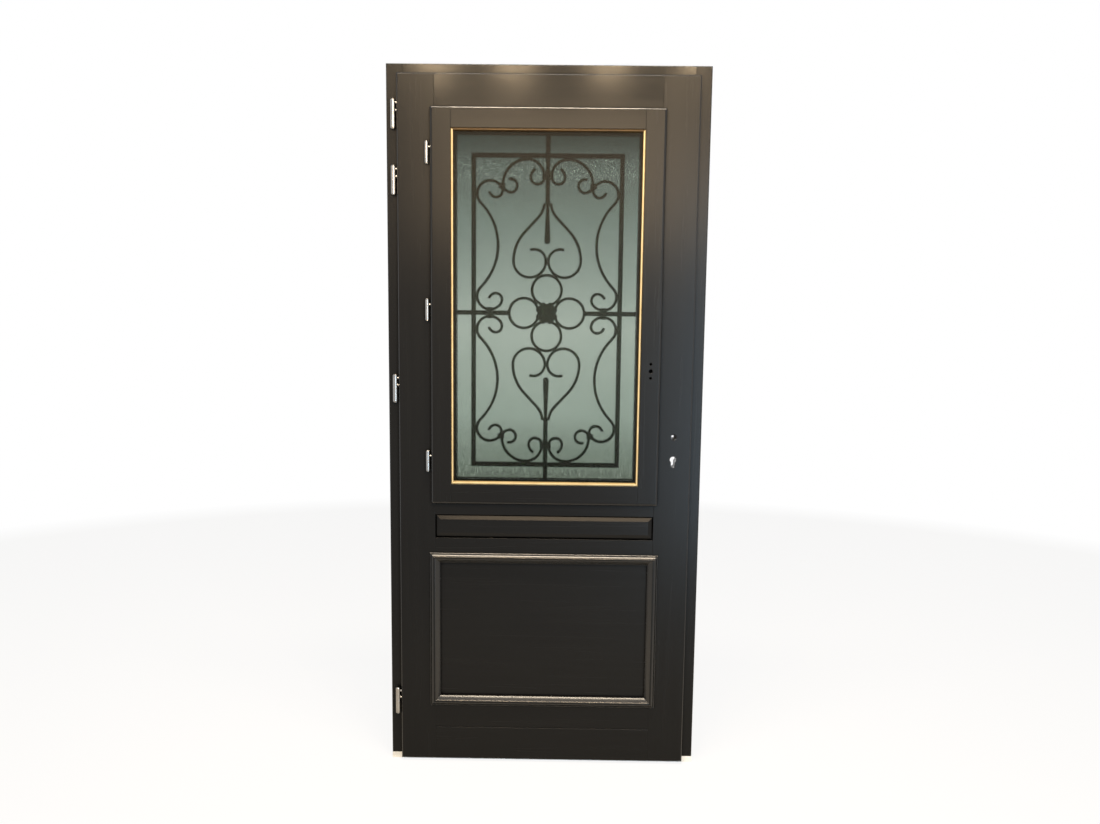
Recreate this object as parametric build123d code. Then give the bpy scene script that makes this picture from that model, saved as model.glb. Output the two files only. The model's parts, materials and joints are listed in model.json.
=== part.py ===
from build123d import *
import os
from math import atan2, cos, degrees, radians, sin, sqrt

# Glazed wooden entrance door with its frame, hung on the left and opening into the room.
# X runs to the right seen from the room, Y runs outdoors, Z runs up. Millimetres.
# The origin is the middle of the threshold's underside, half way through the frame's depth.

os.makedirs("parts", exist_ok=True)

# Frame
frame_width = 980.0
frame_height = 2190.0
frame_depth = 68.0
jamb_to_rebate = 49.0
head_to_rebate = 45.0
stop_width = 20.0
stop_depth = 28.0
frame_arris = 2.0
on_the_spot = 0.01
seal_width = 4.0
seal_depth = 6.0
seal_from_stop_edge = 5.0

# Threshold
threshold_height = 20.0
upstand_height = 15.0
upstand_width = 9.0
threshold_fall = 8.0

# Leaf
leaf_thickness = 58.0
lip_thickness = 18.0
leaf_gap = 5.0
swing_allowance = 1.5
lip_cover_side = 15.0
lip_cover_head = 15.0
lip_below_leaf = 15.0
leaf_arris = 3.0
stile_width = 112.0
top_rail_width = 108.0
bottom_rail_width = 200.0
casement_opening_bottom = 868.0
casement_stop_width = 15.0
casement_stop_depth = 18.0
lower_rail_bottom = 679.0

# Narrow fielded panel
narrow_panel_bottom = 748.0
narrow_panel_height = 68.5
panel_gap = 3.0
panel_margin = 13.0
panel_below_face = 1.0
margin_depth = 4.5
tongue_depth = 8.0
tongue_thickness = 10.0
panel_play = 0.2

# Lower panel and the mouldings that cover its edge
panel_set_back = 8.0
moulding_cover = 18.0
moulding_height = 14.0
outer_lip = 3.5
outer_lip_edge = 3.5
outer_lip_rise = 3.0
moulding_quirk = 1.5
outer_bevel = 6.5
outer_bevel_edge = 2.5
outer_bevel_rise = 5.7
crest_width = 9.5
crest_drop = 2.2
inner_bevel = 11.0
inner_bevel_drop = 10.5
moulding_fillet = 2.0
bevel_bow = 0.4
score_height = 118.0
score_width = 4.0

# Weatherboard outside
weatherboard_bottom = 45.0
weatherboard_height = 42.0
weatherboard_projection = 26.0
weatherboard_end_gap = 11.0
weatherboard_lip = 8.0
weatherboard_top = 5.0
drip_width = 4.0
drip_inset = 5.0

# Glazed casement
casement_thickness = 56.0
casement_lip_thickness = 16.0
casement_face = 62.0
casement_cover = 10.0
casement_gap = 5.0
casement_arris = 7.0
casement_back_lip = 15.0
glass_edge_cover = 16.0
bead_width = 9.0
bead_set_back = 3.0
bead_nose = 4.0
bead_step = 2.0
pane_thickness = 4.0
spacer_thickness = 16.0
spacer_width = 12.0
glass_edge_gap = 3.0
casement_seal_width = 5.0
casement_seal_inset = 2.0

# Door hinges
hinge_diameter = 15.0
hinge_length = 85.0
hinge_from_lip = 12.0
lowest_hinge_height = 202.0
middle_hinge_height = 1216.0
upper_hinge_from_top = 342.0
top_hinge_from_top = 148.0
hinge_pin_diameter = 8.0
hinge_pin_height = 36.0
hinge_play = 0.05
hinge_end_play = 0.2
fixing_diameter = 7.0
fixing_spacing = 22.0
leaf_fixing_depth = 34.0
frame_fixing_depth = 30.0
fixing_play = 0.2
fixing_from_joint = 10.5
hinge_crown = 1.5

# Casement hinges
small_hinge_diameter = 12.5
small_hinge_length = 65.0
small_hinge_from_lip = 11.0
small_hinge_from_end = 134.0
small_fixing_diameter = 6.0
small_fixing_depth = 24.0
small_fixing_from_joint = 16.0
small_pin_diameter = 6.5
small_pin_height = 24.0

# Lock
backset = 35.0
spindle_height = 1073.0
cylinder_spacing = 70.0
handle_hole_diameter = 18.0
follower_square = 8.0
cylinder_round = 20.0
cylinder_slot = 12.0
cylinder_drop = 26.0
lock_case_width = 52.0
lock_case_height = 190.0
lock_case_thickness = 16.0
lock_case_below_spindle = 125.0
lock_play = 0.3
latch_above_spindle = 30.0
faceplate_width = 20.0
faceplate_thickness = 3.0
faceplate_bottom = 240.0
faceplate_from_top = 260.0
keeper_width = 26.0
keeper_thickness = 3.0
keeper_margin = 30.0
bolt_width = 14.0
latch_height = 34.0
bolt_height = 40.0
bolt_clearance = 2.0
bolt_depth = 18.0

# Casement handle
casement_handle_height = 1280.0
casement_handle_inset = 31.0
casement_handle_spacing = 43.0
casement_spindle_hole = 12.0
casement_screw_hole = 8.0
casement_hole_depth = 26.0

# Grille, drawn from its middle
grille_thickness = 12.0
bar_width = 14.0
scroll_width = 8.5
scroll_thickness = 10.0
grille_socket = 12.0
grille_half_width = 227.0
grille_half_height = 476.0
grille_drop = 8.0
ring_radius = 46.0
rosette_size = 62.0
rosette_thickness = 18.0
rosette_lobe = 10.0
rosette_boss = 24.0
rosette_plate = 12.0
rosette_bevel = 3.0
weld = 0.6
heart_lobe_radius = 50.0
heart_outer_radius = 130.0
heart_foot_radius = 60.0
heart_foot_angle = 43.0
heart_weld = 8.0
heart_curl_radius = 36.0
heart_curl_angle = 110.0
bud_diameter = 19.0
bud_neck = 10.0
upper_bud_tip = 199.0
lower_bud_tip = 211.0
side_scroll_end_radius = 40.0
side_scroll_middle = 206.0
side_scroll_waist = 152.0
side_scroll_radii = (42.0, 26.0, 19.0, 22.0)
side_scroll_angles = (45.0, 45.0, 90.0, 75.0)
corner_scroll_side_radius = 75.0
corner_scroll_bar_radius = 52.0
corner_curl_radii = (24.0, 20.0)
corner_curl_angles = (90.0, 200.0)
bar_curl_radii = (22.0, 20.0, 30.0)
bar_curl_angles = (90.0, 90.0, 60.0)
collar_length = 16.0
collar_rise = 2.0
joint_collar_x = 140.5
joint_collar_z = 386.0

# Places worked out from the sizes above
moulding_width = outer_lip + moulding_quirk + outer_bevel + crest_width + inner_bevel + moulding_fillet
half_frame = frame_width / 2
room_face = -frame_depth / 2
outer_face = frame_depth / 2
rebate_x = half_frame - jamb_to_rebate
stop_x = rebate_x - stop_width
rebate_z = frame_height - head_to_rebate
stop_z = rebate_z - stop_width
stop_face = outer_face - stop_depth
leaf_back = stop_face - leaf_gap
leaf_front = leaf_back - leaf_thickness
lip_back = leaf_front + lip_thickness
leaf_hinge_edge = -(rebate_x - leaf_gap)
leaf_lock_edge = rebate_x - leaf_gap - swing_allowance
lip_x = rebate_x + lip_cover_side
leaf_bottom = threshold_height + leaf_gap
leaf_top = rebate_z - leaf_gap
lip_bottom = leaf_bottom - lip_below_leaf
lip_top = rebate_z + lip_cover_head
stile_edge = lip_x - stile_width
leaf_middle_y = (leaf_front + leaf_back) / 2
lock_y = (lip_back + leaf_back) / 2
casement_opening_top = lip_top - top_rail_width
bottom_rail_top = lip_bottom + bottom_rail_width
narrow_panel_top = narrow_panel_bottom + narrow_panel_height
casement_back = leaf_back - casement_stop_depth - casement_gap
casement_front = casement_back - casement_thickness
casement_lip_back = casement_front + casement_lip_thickness
casement_lip_x = stile_edge + casement_cover
casement_lip_bottom = casement_opening_bottom - casement_cover
casement_lip_top = casement_opening_top + casement_cover
glazing_x = casement_lip_x - casement_face
glazing_bottom = casement_lip_bottom + casement_face
glazing_top = casement_lip_top - casement_face
bead_face = casement_front + bead_set_back
unit_thickness = 2 * pane_thickness + spacer_thickness
glass_back = casement_back - casement_back_lip
glass_front = glass_back - unit_thickness
grille_y = leaf_back - casement_stop_depth / 2
grille_z = (casement_opening_bottom + casement_opening_top) / 2 - grille_drop
hinge_heights = (
    lowest_hinge_height,
    middle_hinge_height,
    frame_height - upper_hinge_from_top,
    frame_height - top_hinge_from_top,
)
small_hinge_heights = (
    casement_lip_bottom + small_hinge_from_end,
    (casement_lip_bottom + casement_lip_top) / 2,
    casement_lip_top - small_hinge_from_end,
)
hinge_x = -(lip_x + hinge_from_lip)
hinge_y = (leaf_front + lip_back) / 2
spindle_x = leaf_lock_edge + swing_allowance - backset
cylinder_z = spindle_height - cylinder_spacing


# Shared shapes


def block(x_span, y_span, z_span):
    """A box between two values on each axis."""
    low = Vector(x_span[0], y_span[0], z_span[0])
    high = Vector(x_span[1], y_span[1], z_span[1])
    size = high - low
    return Pos(*((low + high) / 2)) * Box(size.X, size.Y, size.Z)


def ring(half_width, bottom, top, inner_half_width, inner_bottom, inner_top, y_span):
    """A flat rectangular ring in the door's plane."""
    outside = block((-half_width, half_width), y_span, (bottom, top))
    inside = block((-inner_half_width, inner_half_width), y_span, (inner_bottom, inner_top))
    return outside - inside


def edges_on_face(shape, y, half_width, bottom, top):
    """The four outer edges of a slab on its face at y."""
    chosen = []
    for edge in shape.edges():
        middle = edge.center()
        on_side = abs(abs(middle.X) - half_width) < on_the_spot
        on_end = abs(middle.Z - bottom) < on_the_spot or abs(middle.Z - top) < on_the_spot
        if abs(middle.Y - y) < on_the_spot and (on_side or on_end):
            chosen.append(edge)
    return chosen


def rod(radius, start, end):
    """A round bar between two points on one axis."""
    start = Vector(*start)
    run = Vector(*end) - start
    return Plane(start, z_dir=run) * extrude(Circle(radius), run.length)


def mitred_ring(lines, width, half_width, bottom, top, y):
    """A section run round a rectangle and mitred at its corners, standing out towards the room.

    The section's first value goes from the rectangle inwards, its second towards the room.
    """
    section = make_face(Curve() + lines)
    below = Plane((-half_width, y, bottom), x_dir=(0, 0, 1), z_dir=(1, 0, 0))
    beside = Plane((-half_width, y, top), x_dir=(1, 0, 0), z_dir=(0, 0, -1))
    lower = extrude(below * section, 2 * half_width)
    left = extrude(beside * section, top - bottom)
    keep = Polyline(
        (-half_width, bottom),
        (half_width, bottom),
        (half_width - width, bottom + width),
        (width - half_width, bottom + width),
        close=True,
    )
    upright_keep = Polyline(
        (-half_width, bottom),
        (-half_width, top),
        (width - half_width, top - width),
        (width - half_width, bottom + width),
        close=True,
    )
    flat = Plane((0, y, 0), x_dir=(1, 0, 0), z_dir=(0, -1, 0))
    lower = lower & extrude(flat * make_face(keep), half_width, both=True)
    left = left & extrude(flat * make_face(upright_keep), half_width, both=True)
    level = Plane((0, 0, (bottom + top) / 2))
    return lower + left + mirror(lower, about=level) + mirror(left, about=Plane.YZ)


def save(name, shape):
    """Write one sub-part, as one solid or as a group of solids."""
    solids = shape.solids()
    body = solids[0] if len(solids) == 1 else Compound(children=solids)
    export_step(body, os.path.join("parts", name + ".step"))


# Frame


def frame_blank():
    """Jambs and head in one, with rebate, stop and the groove for the seal."""
    blank = block((-half_frame, half_frame), (room_face, outer_face), (threshold_height, frame_height))
    blank -= block((-rebate_x, rebate_x), (room_face, stop_face), (threshold_height, rebate_z))
    blank -= block((-stop_x, stop_x), (stop_face, outer_face), (threshold_height, stop_z))
    room_edges = []
    for edge in blank.edges():
        middle = edge.center()
        if abs(middle.Y - room_face) < on_the_spot and middle.Z > threshold_height + 1:
            room_edges.append(edge)
    return chamfer(room_edges, frame_arris) - frame_seal()


def frame_seal():
    """Rubber strip let in flush with the stop's face, up both jambs and across the head."""
    inner = stop_x + seal_from_stop_edge
    outer = inner + seal_width
    inner_top = stop_z + seal_from_stop_edge
    depth = (stop_face, stop_face + seal_depth)
    strip = block((-outer, outer), depth, (threshold_height, inner_top + seal_width))
    return strip - block((-inner, inner), depth, (threshold_height, inner_top))


def jamb_space(side):
    """The space that one jamb takes out of the blank: side is -1 at the hinges and 1 at the lock."""
    height = (threshold_height, frame_height)
    outer = side * half_frame
    face = block(sorted((outer, side * rebate_x)), (room_face, stop_face), height)
    stop = block(sorted((outer, side * stop_x)), (stop_face, outer_face), height)
    return face + stop


def threshold():
    """Metal sill under the whole frame, with an upstand behind the leaf and a fall outdoors."""
    base = block((-half_frame, half_frame), (room_face, outer_face), (0, threshold_height))
    upstand_back = stop_face + upstand_width
    upstand = block((-stop_x, stop_x), (stop_face, upstand_back), (threshold_height, threshold_height + upstand_height))
    fall = Polyline(
        (upstand_back, threshold_height),
        (outer_face, threshold_height),
        (outer_face, threshold_height - threshold_fall),
        close=True,
    )
    fall_plane = Plane((-stop_x, 0, 0), x_dir=(0, 1, 0), z_dir=(1, 0, 0))
    return base + upstand - extrude(fall_plane * make_face(fall), 2 * stop_x)


def keeper_slots():
    """Height of the middle and half height of the latch's slot and the bolt's slot."""
    latch = (spindle_height + latch_above_spindle, latch_height / 2 + bolt_clearance)
    bolt = (cylinder_z, bolt_height / 2 + bolt_clearance)
    return latch, bolt


def keeper_blank():
    """The strike plate before its slots are cut, flush with the jamb's rebate."""
    latch, bolt = keeper_slots()
    top = latch[0] + latch[1] + keeper_margin
    bottom = bolt[0] - bolt[1] - keeper_margin
    width = (lock_y - keeper_width / 2, lock_y + keeper_width / 2)
    return block((rebate_x, rebate_x + keeper_thickness), width, (bottom, top))


def keeper_pockets():
    """The pockets that the latch and the bolt shoot into."""
    half_slot = bolt_width / 2 + bolt_clearance
    pockets = []
    for middle, half_height in keeper_slots():
        height = (middle - half_height, middle + half_height)
        pockets.append(block((rebate_x, rebate_x + bolt_depth), (lock_y - half_slot, lock_y + half_slot), height))
    return pockets


# Leaf


def leaf_blank():
    """The leaf's joinery in one, lipped all round, with its openings and panel grooves."""
    lip = block((-lip_x, lip_x), (leaf_front, lip_back), (lip_bottom, lip_top))
    lip = chamfer(edges_on_face(lip, leaf_front, lip_x, lip_bottom, lip_top), leaf_arris)
    blank = lip + block((leaf_hinge_edge, leaf_lock_edge), (lip_back, leaf_back), (leaf_bottom, leaf_top))
    through = (leaf_front, leaf_back)
    stop = leaf_back - casement_stop_depth
    sight = stile_edge - casement_stop_width
    sight_height = (casement_opening_bottom + casement_stop_width, casement_opening_top - casement_stop_width)
    blank -= block((-stile_edge, stile_edge), (leaf_front, stop), (casement_opening_bottom, casement_opening_top))
    blank -= block((-sight, sight), (stop, leaf_back), sight_height)
    blank -= block((-stile_edge, stile_edge), through, (bottom_rail_top, lower_rail_bottom))
    narrow = (narrow_panel_bottom - panel_gap, narrow_panel_top + panel_gap)
    blank -= block((-stile_edge, stile_edge), through, narrow)
    groove_x = stile_edge + tongue_depth
    groove_half = tongue_thickness / 2 + panel_play
    groove_height = (narrow[0] - tongue_depth, narrow[1] + tongue_depth)
    blank -= block((-groove_x, groove_x), (leaf_middle_y - groove_half, leaf_middle_y + groove_half), groove_height)
    return blank - scored_line()


def scored_line():
    """The fine vee cut across the bottom rail, room side."""
    half = score_width / 2
    vee = Polyline(
        (leaf_front, score_height - half),
        (leaf_front, score_height + half),
        (leaf_front + half, score_height),
        close=True,
    )
    plane = Plane((-stile_edge, 0, 0), x_dir=(0, 1, 0), z_dir=(1, 0, 0))
    return extrude(plane * make_face(vee), 2 * stile_edge)


def stile_space(side):
    """The space that one stile takes out of the leaf's blank."""
    edge = side * stile_edge
    stop = (leaf_back - casement_stop_depth, leaf_back)
    height = (casement_opening_bottom, casement_opening_top)
    upright = block(sorted((side * lip_x, edge)), (leaf_front, leaf_back), (lip_bottom, lip_top))
    return upright + block(sorted((edge, edge - side * casement_stop_width)), stop, height)


def split_members(blank, spaces):
    """Cut a framed blank into its uprights and, from the bottom up, its rails."""
    uprights = [blank & space for space in spaces]
    rest = blank
    for space in spaces:
        rest = rest - space
    rails = sorted(rest.solids(), key=lambda rail: rail.center().Z)
    return uprights, rails


def narrow_panel():
    """Raised and fielded panel, alike on both faces, held by a tongue in the frame's groove."""
    half = stile_edge - panel_gap
    middle_z = (narrow_panel_bottom + narrow_panel_top) / 2
    front = leaf_front + panel_below_face
    back = leaf_back - panel_below_face
    core = block((-half, half), (front + margin_depth, back - margin_depth), (narrow_panel_bottom, narrow_panel_top))
    reach = stile_edge + tongue_depth - panel_play
    rise = narrow_panel_height / 2 + panel_gap + tongue_depth - panel_play
    tongue = block(
        (-reach, reach),
        (leaf_middle_y - tongue_thickness / 2, leaf_middle_y + tongue_thickness / 2),
        (middle_z - rise, middle_z + rise),
    )
    panel = core + tongue
    for face_y, base_y in ((front, front + margin_depth), (back, back - margin_depth)):
        base = Plane((0, base_y, middle_z), x_dir=(1, 0, 0), z_dir=(0, face_y - base_y, 0))
        field = Plane((0, face_y, middle_z), x_dir=(1, 0, 0), z_dir=(0, face_y - base_y, 0))
        outline = Rectangle(2 * half, narrow_panel_height)
        raised = Rectangle(2 * (half - panel_margin), narrow_panel_height - 2 * panel_margin)
        panel += loft([base * outline, field * raised], ruled=True)
    return panel


def lower_panel():
    """Flat panel set back between the rails."""
    half = stile_edge - panel_play
    depth = (leaf_front + panel_set_back, leaf_back - panel_set_back)
    return block((-half, half), depth, (bottom_rail_top + panel_play, lower_rail_bottom - panel_play))


def bowed(start, end):
    """Slightly bowed line of the moulding's section, bulging away from the wood."""
    middle = (Vector(*start) + Vector(*end)) / 2
    along = (Vector(*end) - Vector(*start)).normalized()
    return ThreePointArc(start, middle + bevel_bow * Vector(-along.Y, along.X), end)


def moulding_lines():
    """The moulding's section: a lip, a quirk, an outer bevel, a round crest and an inner bevel."""
    lip_top = outer_lip_edge + outer_lip_rise
    quirk_bottom = lip_top - moulding_quirk
    bevel_start = outer_lip + moulding_quirk
    bevel_foot = quirk_bottom + outer_bevel_edge
    crest_start = bevel_start + outer_bevel
    crest_foot = bevel_foot + outer_bevel_rise
    crest_end = crest_start + crest_width
    crest_rise = crest_foot - crest_drop
    slope_end = crest_end + inner_bevel
    slope_foot = crest_rise - inner_bevel_drop
    return [
        Line((0, 0), (0, outer_lip_edge)),
        bowed((0, outer_lip_edge), (outer_lip, lip_top)),
        Line((outer_lip, lip_top), (outer_lip, quirk_bottom)),
        Line((outer_lip, quirk_bottom), (bevel_start, quirk_bottom)),
        Line((bevel_start, quirk_bottom), (bevel_start, bevel_foot)),
        bowed((bevel_start, bevel_foot), (crest_start, crest_foot)),
        ThreePointArc((crest_start, crest_foot), (crest_start + crest_width / 3, moulding_height), (crest_end, crest_rise)),
        bowed((crest_end, crest_rise), (slope_end, slope_foot)),
        Line((slope_end, slope_foot), (moulding_width, slope_foot)),
        Line((moulding_width, slope_foot), (moulding_width, -panel_set_back)),
        Line((moulding_width, -panel_set_back), (moulding_cover, -panel_set_back)),
        Line((moulding_cover, -panel_set_back), (moulding_cover, 0)),
        Line((moulding_cover, 0), (0, 0)),
    ]


def panel_moulding():
    """Bolection moulding round the lower panel, room side."""
    half = stile_edge + moulding_cover
    bottom = bottom_rail_top - moulding_cover
    top = lower_rail_bottom + moulding_cover
    return mitred_ring(moulding_lines(), moulding_width, half, bottom, top, leaf_front)


def weatherboard():
    """Board that throws rain clear of the threshold, outdoors."""
    top = weatherboard_bottom + weatherboard_height
    nose_y = leaf_back + weatherboard_projection
    lip_z = weatherboard_bottom + weatherboard_lip
    shoulder_y = leaf_back + weatherboard_top
    hollow = (shoulder_y + 0.35 * (nose_y - shoulder_y), lip_z + 0.35 * (top - lip_z))
    drip_y = nose_y - drip_inset
    lines = [
        Line((leaf_back, weatherboard_bottom), (leaf_back, top)),
        Line((leaf_back, top), (shoulder_y, top)),
        ThreePointArc((shoulder_y, top), hollow, (nose_y, lip_z)),
        Line((nose_y, lip_z), (nose_y, weatherboard_bottom)),
        Line((nose_y, weatherboard_bottom), (drip_y, weatherboard_bottom)),
        ThreePointArc(
            (drip_y, weatherboard_bottom),
            (drip_y - drip_width / 2, weatherboard_bottom + drip_width / 2),
            (drip_y - drip_width, weatherboard_bottom),
        ),
        Line((drip_y - drip_width, weatherboard_bottom), (leaf_back, weatherboard_bottom)),
    ]
    half = stop_x - weatherboard_end_gap
    plane = Plane((-half, 0, 0), x_dir=(0, 1, 0), z_dir=(1, 0, 0))
    return extrude(plane * make_face(Curve() + lines), 2 * half)


# Lock


def across_leaf(x, z, sketch):
    """Cut a sketch right through the leaf, drawn at x and z with its second value downwards."""
    plane = Plane((x, leaf_front, z), x_dir=(1, 0, 0), z_dir=(0, 1, 0))
    return extrude(plane * sketch, leaf_thickness)


def cylinder_hole():
    """Hole for a profile cylinder: a round bore with a slot below it."""
    slot_end = cylinder_drop - cylinder_slot / 2
    sketch = Circle(cylinder_round / 2) + Pos(0, slot_end / 2) * Rectangle(cylinder_slot, slot_end)
    sketch += Pos(0, slot_end) * Circle(cylinder_slot / 2)
    return across_leaf(spindle_x, cylinder_z, sketch)


def lock_space(play):
    """The box of the lock case, larger all round by the play."""
    case_edge = leaf_lock_edge - faceplate_thickness
    half = lock_case_thickness / 2 + play
    bottom = spindle_height - lock_case_below_spindle - play
    top = spindle_height - lock_case_below_spindle + lock_case_height + play
    return block((case_edge - lock_case_width - play, case_edge), (lock_y - half, lock_y + half), (bottom, top))


def bolts(play):
    """The latch and the dead bolt where they pass the faceplate, drawn back flush with it."""
    half = bolt_width / 2 + play
    depth = (leaf_lock_edge - faceplate_thickness, leaf_lock_edge)
    pieces = []
    for middle, height in ((spindle_height + latch_above_spindle, latch_height), (cylinder_z, bolt_height)):
        rise = height / 2 + play
        pieces.append(block(depth, (lock_y - half, lock_y + half), (middle - rise, middle + rise)))
    return pieces


def lock_case():
    """Mortise lock with its square follower, cylinder cut-out, latch and bolt."""
    case = lock_space(0)
    for bolt in bolts(0):
        case += bolt
    case -= across_leaf(spindle_x, spindle_height, Rectangle(follower_square, follower_square))
    return case - cylinder_hole()


def faceplate_blank():
    """The lock's faceplate before its windows are cut."""
    width = (lock_y - faceplate_width / 2, lock_y + faceplate_width / 2)
    return block((leaf_lock_edge - faceplate_thickness, leaf_lock_edge), width, (faceplate_bottom, lip_top - faceplate_from_top))


def lock_faceplate():
    """Long steel strip let into the leaf's edge, with windows for latch and bolt."""
    plate = faceplate_blank()
    for bolt in bolts(lock_play):
        plate -= bolt
    return plate


# Hinges


def barrel(radius, x, y, bottom, top, crown_end):
    """One half of a hinge barrel, bevelled at its outer end."""
    half = rod(radius, (x, y, bottom), (x, y, top))
    ends = [edge for edge in half.edges() if abs(edge.center().Z - crown_end) < on_the_spot]
    ends = [edge for edge in ends if edge.geom_type == GeomType.CIRCLE]
    return chamfer(ends, hinge_crown)


def hinge_upper_half(x, y, z, diameter, length, pin, pin_height, fixings, fixing, end_x):
    """The half that lifts off: its blind bore drops over the pin, its fixings run sideways."""
    half = barrel(diameter / 2, x, y, z + hinge_end_play, z + length / 2, z + length / 2)
    bore_top = z + pin_height + hinge_end_play
    half -= rod(pin / 2 + hinge_play, (x, y, z), (x, y, bore_top))
    start_x = x + (diameter + pin) / 4 + hinge_play
    for rise in fixings:
        half += rod(fixing / 2, (start_x, y, z + rise), (end_x, y, z + rise))
    return half


def hinge_lower_half(x, y, z, diameter, length, pin, pin_height, fixings, fixing, end_y):
    """The half that carries the pin, with fixings that run back into what holds it."""
    half = barrel(diameter / 2, x, y, z - length / 2, z, z - length / 2)
    half += rod(pin / 2, (x, y, z - fixing), (x, y, z + pin_height))
    for rise in fixings:
        half += rod(fixing / 2, (x, y, z - rise), (x, end_y, z - rise))
    return half


def door_fixings():
    """Heights of a door hinge half's two fixings, counted from its joint."""
    return (fixing_from_joint, fixing_from_joint + fixing_spacing)


def door_hinge_halves(z):
    """Leaf half and frame half of the door hinge at one height."""
    shared = (hinge_x, hinge_y, z, hinge_diameter, hinge_length, hinge_pin_diameter, hinge_pin_height)
    leaf_half = hinge_upper_half(*shared, door_fixings(), fixing_diameter, -lip_x + leaf_fixing_depth)
    frame_half = hinge_lower_half(*shared, door_fixings(), fixing_diameter, room_face + frame_fixing_depth)
    return leaf_half, frame_half


def casement_hinge(z):
    """Both halves of one casement hinge."""
    x = -(casement_lip_x + small_hinge_from_lip)
    y = (casement_front + casement_lip_back) / 2
    shared = (x, y, z, small_hinge_diameter, small_hinge_length, small_pin_diameter, small_pin_height)
    fixings = (small_fixing_from_joint,)
    upper = hinge_upper_half(*shared, fixings, small_fixing_diameter, -casement_lip_x + small_fixing_depth)
    lower = hinge_lower_half(*shared, fixings, small_fixing_diameter, leaf_front + small_fixing_depth)
    return upper, lower


def fixing_holes_across(edge_x, y, heights, diameter, depth):
    """Holes for fixings that run in from a piece's left edge."""
    radius = diameter / 2 + fixing_play
    return [rod(radius, (edge_x, y, z), (edge_x + depth + fixing_play, y, z)) for z in heights]


def fixing_holes_back(x, face_y, heights, diameter, depth):
    """Holes for fixings that run back from a piece's room face."""
    radius = diameter / 2 + fixing_play
    return [rod(radius, (x, face_y, z), (x, face_y + depth + fixing_play, z)) for z in heights]


# Casement


def casement_blank():
    """The casement's joinery in one, with its lip and its rebate for the glass."""
    lip = block(
        (-casement_lip_x, casement_lip_x),
        (casement_front, casement_lip_back),
        (casement_lip_bottom, casement_lip_top),
    )
    arris = edges_on_face(lip, casement_front, casement_lip_x, casement_lip_bottom, casement_lip_top)
    lip = fillet(arris, casement_arris)
    half = stile_edge - casement_gap
    height = (casement_opening_bottom + casement_gap, casement_opening_top - casement_gap)
    blank = lip + block((-half, half), (casement_lip_back, casement_back), height)
    sight_x = glazing_x - glass_edge_cover
    sight = (glazing_bottom + glass_edge_cover, glazing_top - glass_edge_cover)
    blank -= block((-glazing_x, glazing_x), (casement_front, glass_back), (glazing_bottom, glazing_top))
    return blank - block((-sight_x, sight_x), (glass_back, casement_back), sight)


def casement_stile_space(side):
    """The space that one casement stile takes out of the blank."""
    edge = side * glazing_x
    depth = (casement_front, casement_back)
    upright = block(sorted((side * casement_lip_x, edge)), depth, (casement_lip_bottom, casement_lip_top))
    lip = block(
        sorted((edge, edge - side * glass_edge_cover)),
        (glass_back, casement_back),
        (glazing_bottom, glazing_top),
    )
    return upright + lip


def casement_handle_holes():
    """Blind holes for the casement's turning handle: spindle in the middle, a screw above and below."""
    x = casement_lip_x - casement_handle_inset
    holes = []
    for rise, diameter in (
        (0, casement_spindle_hole),
        (casement_handle_spacing / 2, casement_screw_hole),
        (-casement_handle_spacing / 2, casement_screw_hole),
    ):
        z = casement_handle_height + rise
        holes.append(rod(diameter / 2, (x, casement_front, z), (x, casement_front + casement_hole_depth, z)))
    return holes


def glazing_bead():
    """Gilt bead that holds the glass from the room side."""
    height = glass_front - bead_face
    slant = sqrt(0.5)
    start = bead_width - bead_step
    middle = (bead_step + slant * (start - bead_step), bead_nose + slant * (height - bead_nose))
    lines = [
        Line((0, 0), (bead_width, 0)),
        Line((bead_width, 0), (bead_width, bead_nose)),
        Line((bead_width, bead_nose), (start, bead_nose)),
        ThreePointArc((start, bead_nose), middle, (bead_step, height)),
        Line((bead_step, height), (0, height)),
        Line((0, height), (0, 0)),
    ]
    return mitred_ring(lines, bead_width, glazing_x, glazing_bottom, glazing_top, glass_front)


def pane(front):
    """One sheet of the sealed unit."""
    half = glazing_x - glass_edge_gap
    height = (glazing_bottom + glass_edge_gap, glazing_top - glass_edge_gap)
    return block((-half, half), (front, front + pane_thickness), height)


def glass_spacer():
    """Bar that holds the two sheets apart round their edge."""
    half = glazing_x - glass_edge_gap
    bottom = glazing_bottom + glass_edge_gap
    top = glazing_top - glass_edge_gap
    depth = (glass_front + pane_thickness, glass_back - pane_thickness)
    inner = (half - spacer_width, bottom + spacer_width, top - spacer_width)
    return ring(half, bottom, top, *inner, depth)


def casement_seal():
    """Rubber strip between the casement's lip and the leaf."""
    half = casement_lip_x - casement_seal_inset
    bottom = casement_lip_bottom + casement_seal_inset
    top = casement_lip_top - casement_seal_inset
    width = casement_seal_width
    return ring(half, bottom, top, half - width, bottom + width, top - width, (casement_lip_back, leaf_front))


# Grille, drawn flat from its middle and then given its depth


def arc_path(start, heading, turns):
    """Tangent arcs one after another from a start and a heading in degrees; left turns are positive."""
    arcs = []
    point = Vector(*start)
    way = Vector(cos(radians(heading)), sin(radians(heading)))
    for radius, angle in turns:
        arc = JernArc(point, way, radius, angle)
        arcs.append(arc)
        point = arc @ 1
        way = arc % 1
    return arcs


def scroll(start, heading, turns):
    """A bent scroll bar of the scroll's width along tangent arcs."""
    return trace(Curve() + arc_path(start, heading, turns), scroll_width)


def mirrored(sketch, plane):
    """A sketch and its mirror image."""
    return sketch + mirror(sketch, about=plane)


def four_ways(sketch):
    """A quarter of the grille copied into all four quarters."""
    return mirrored(mirrored(sketch, Plane.YZ), Plane.XZ)


def contact():
    """Distance between the middles of a bar and a scroll that is welded to it."""
    return (bar_width + scroll_width) / 2 - weld


def ring_centre():
    """Distance of each ring from the grille's middle, where neighbouring rings just touch."""
    return (ring_radius + scroll_width / 2 - weld / 2) / sqrt(0.5)


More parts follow.
